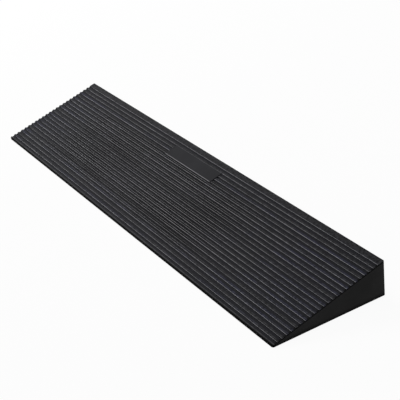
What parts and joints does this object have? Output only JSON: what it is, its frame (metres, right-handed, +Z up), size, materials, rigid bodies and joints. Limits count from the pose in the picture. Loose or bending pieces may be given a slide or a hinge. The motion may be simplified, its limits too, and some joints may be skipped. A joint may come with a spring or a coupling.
{
  "type": "threshold ramp",
  "caption": "Long low rubber wedge with a ribbed tread, a plain plate let into it and tape strips in its base; carries wheels over a door sill.",
  "frame": {"origin": "on the floor, at the middle of the ramp's base", "axes": "+X along the ramp, to the right for someone who faces the slope; +Y from the low front lip to the tall back face; +Z up"},
  "size_m": [1, 0.22, 0.0644],
  "materials": {
    "moulded_rubber": "matte black moulded rubber, faintly grained",
    "smooth_rubber": "smooth matte black rubber",
    "adhesive_film": "clear acrylic adhesive",
    "fixing_tape": "dark foam tape, tacky",
    "release_liner": "waxed pale liner"
  },
  "bodies": {
    "root": {"ramp_body": "moulded_rubber", "blank_plate": "smooth_rubber", "plate_adhesive": "adhesive_film", "front_tape": "fixing_tape", "middle_tape": "fixing_tape", "rear_tape": "fixing_tape", "front_liner": "release_liner", "middle_liner": "release_liner", "rear_liner": "release_liner"}
  },
  "joints": []
}
